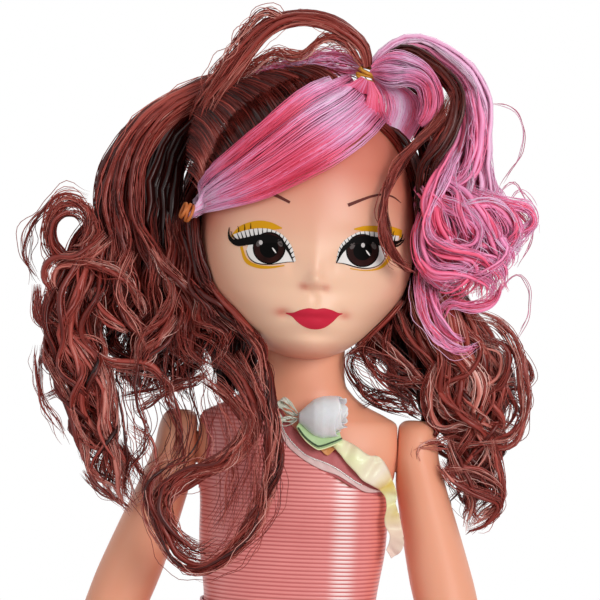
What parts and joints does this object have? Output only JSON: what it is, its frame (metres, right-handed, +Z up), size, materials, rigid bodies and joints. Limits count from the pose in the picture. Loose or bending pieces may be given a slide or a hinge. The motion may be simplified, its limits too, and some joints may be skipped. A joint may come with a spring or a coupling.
{
  "type": "fashion doll",
  "caption": "Standing fashion doll with turning head, long rooted curly hair, swinging arms and legs, one-shoulder satin gown with rose and ruffle, and shoes.",
  "frame": {"origin": "on the ground under the body's axis, centred under the skirt's round hem, at the height of the shoe soles", "axes": "+Z up along the body, -Y the way the doll faces, +X towards the doll's own left arm"},
  "size_m": [0.2126, 0.2124, 0.4351],
  "materials": {
    "head_vinyl": "soft vinyl, satin",
    "skin": "soft vinyl, satin",
    "hard_plastic": "plain moulded",
    "hair_brown": "glossy synthetic fibre",
    "hair_pink": "glossy synthetic fibre",
    "rubber": "matt",
    "satin": "ribbed satin",
    "organza": "sheer organza",
    "ruffle": "iridescent organza",
    "rose_satin": "white satin",
    "leaf_ribbon": "green satin ribbon",
    "white_cloth": "plain woven",
    "shoe_plastic": "gloss"
  },
  "bodies": {
    "torso": {"torso_front_shell": "skin", "torso_rear_shell": "skin", "neck_knob": "hard_plastic", "hip_axle": "hard_plastic", "briefs": "white_cloth", "dress_bodice": "satin", "closure_loop_tape": "white_cloth", "closure_hook_tape": "white_cloth", "neckline_band": "organza", "neckline_ruffle": "ruffle", "satin_rose": "rose_satin", "rose_leaf": "leaf_ribbon", "organza_loop": "organza", "waist_sash": "satin", "left_skirt_panel": "satin", "right_skirt_panel": "satin"},
    "head": {"head_shell": "head_vinyl", "hair_scalp_layer": "hair_brown", "hair_top_bunch": "hair_pink", "hair_fringe": "hair_pink", "hair_top_arc": "hair_brown", "hair_top_roll": "hair_pink", "hair_left_ponytail": "hair_pink", "hair_face_tendril": "hair_brown", "hair_left_curls": "hair_brown", "hair_right_curtain": "hair_brown", "hair_chest_curl": "hair_brown", "hair_right_curls": "hair_brown", "hair_back_left": "hair_brown", "hair_back_right": "hair_brown", "elastic_top": "rubber", "elastic_temple": "rubber"},
    "left_arm": {"left_arm": "skin", "left_shoulder_plug": "hard_plastic"},
    "right_arm": {"right_arm": "skin", "right_shoulder_plug": "hard_plastic"},
    "left_leg": {"left_leg": "skin", "left_shoe": "shoe_plastic"},
    "right_leg": {"right_leg": "skin", "right_shoe": "shoe_plastic"}
  },
  "joints": [
    {"name": "head_turn", "type": "hinge", "parent": "torso", "child": "head", "pos_m": [0, 0, 0.3237], "axis": [0, 0, 1], "range_deg": [-80, 80], "deforming": ["hair_left_curls", "hair_chest_curl", "hair_right_curls", "hair_back_left", "hair_back_right", "hair_left_ponytail", "hair_right_curtain"]},
    {"name": "left_shoulder", "type": "hinge", "parent": "torso", "child": "left_arm", "pos_m": [0.035, 0, 0.283], "axis": [-1, 0, 0], "continuous": true},
    {"name": "right_shoulder", "type": "hinge", "parent": "torso", "child": "right_arm", "pos_m": [-0.035, 0, 0.283], "axis": [-1, 0, 0], "continuous": true},
    {"name": "left_hip", "type": "hinge", "parent": "torso", "child": "left_leg", "pos_m": [0.0195, 0, 0.194], "axis": [-1, 0, 0], "range_deg": [-30, 90], "deforming": ["left_skirt_panel"]},
    {"name": "right_hip", "type": "hinge", "parent": "torso", "child": "right_leg", "pos_m": [-0.0195, 0, 0.194], "axis": [-1, 0, 0], "range_deg": [-30, 90], "deforming": ["right_skirt_panel"]}
  ]
}
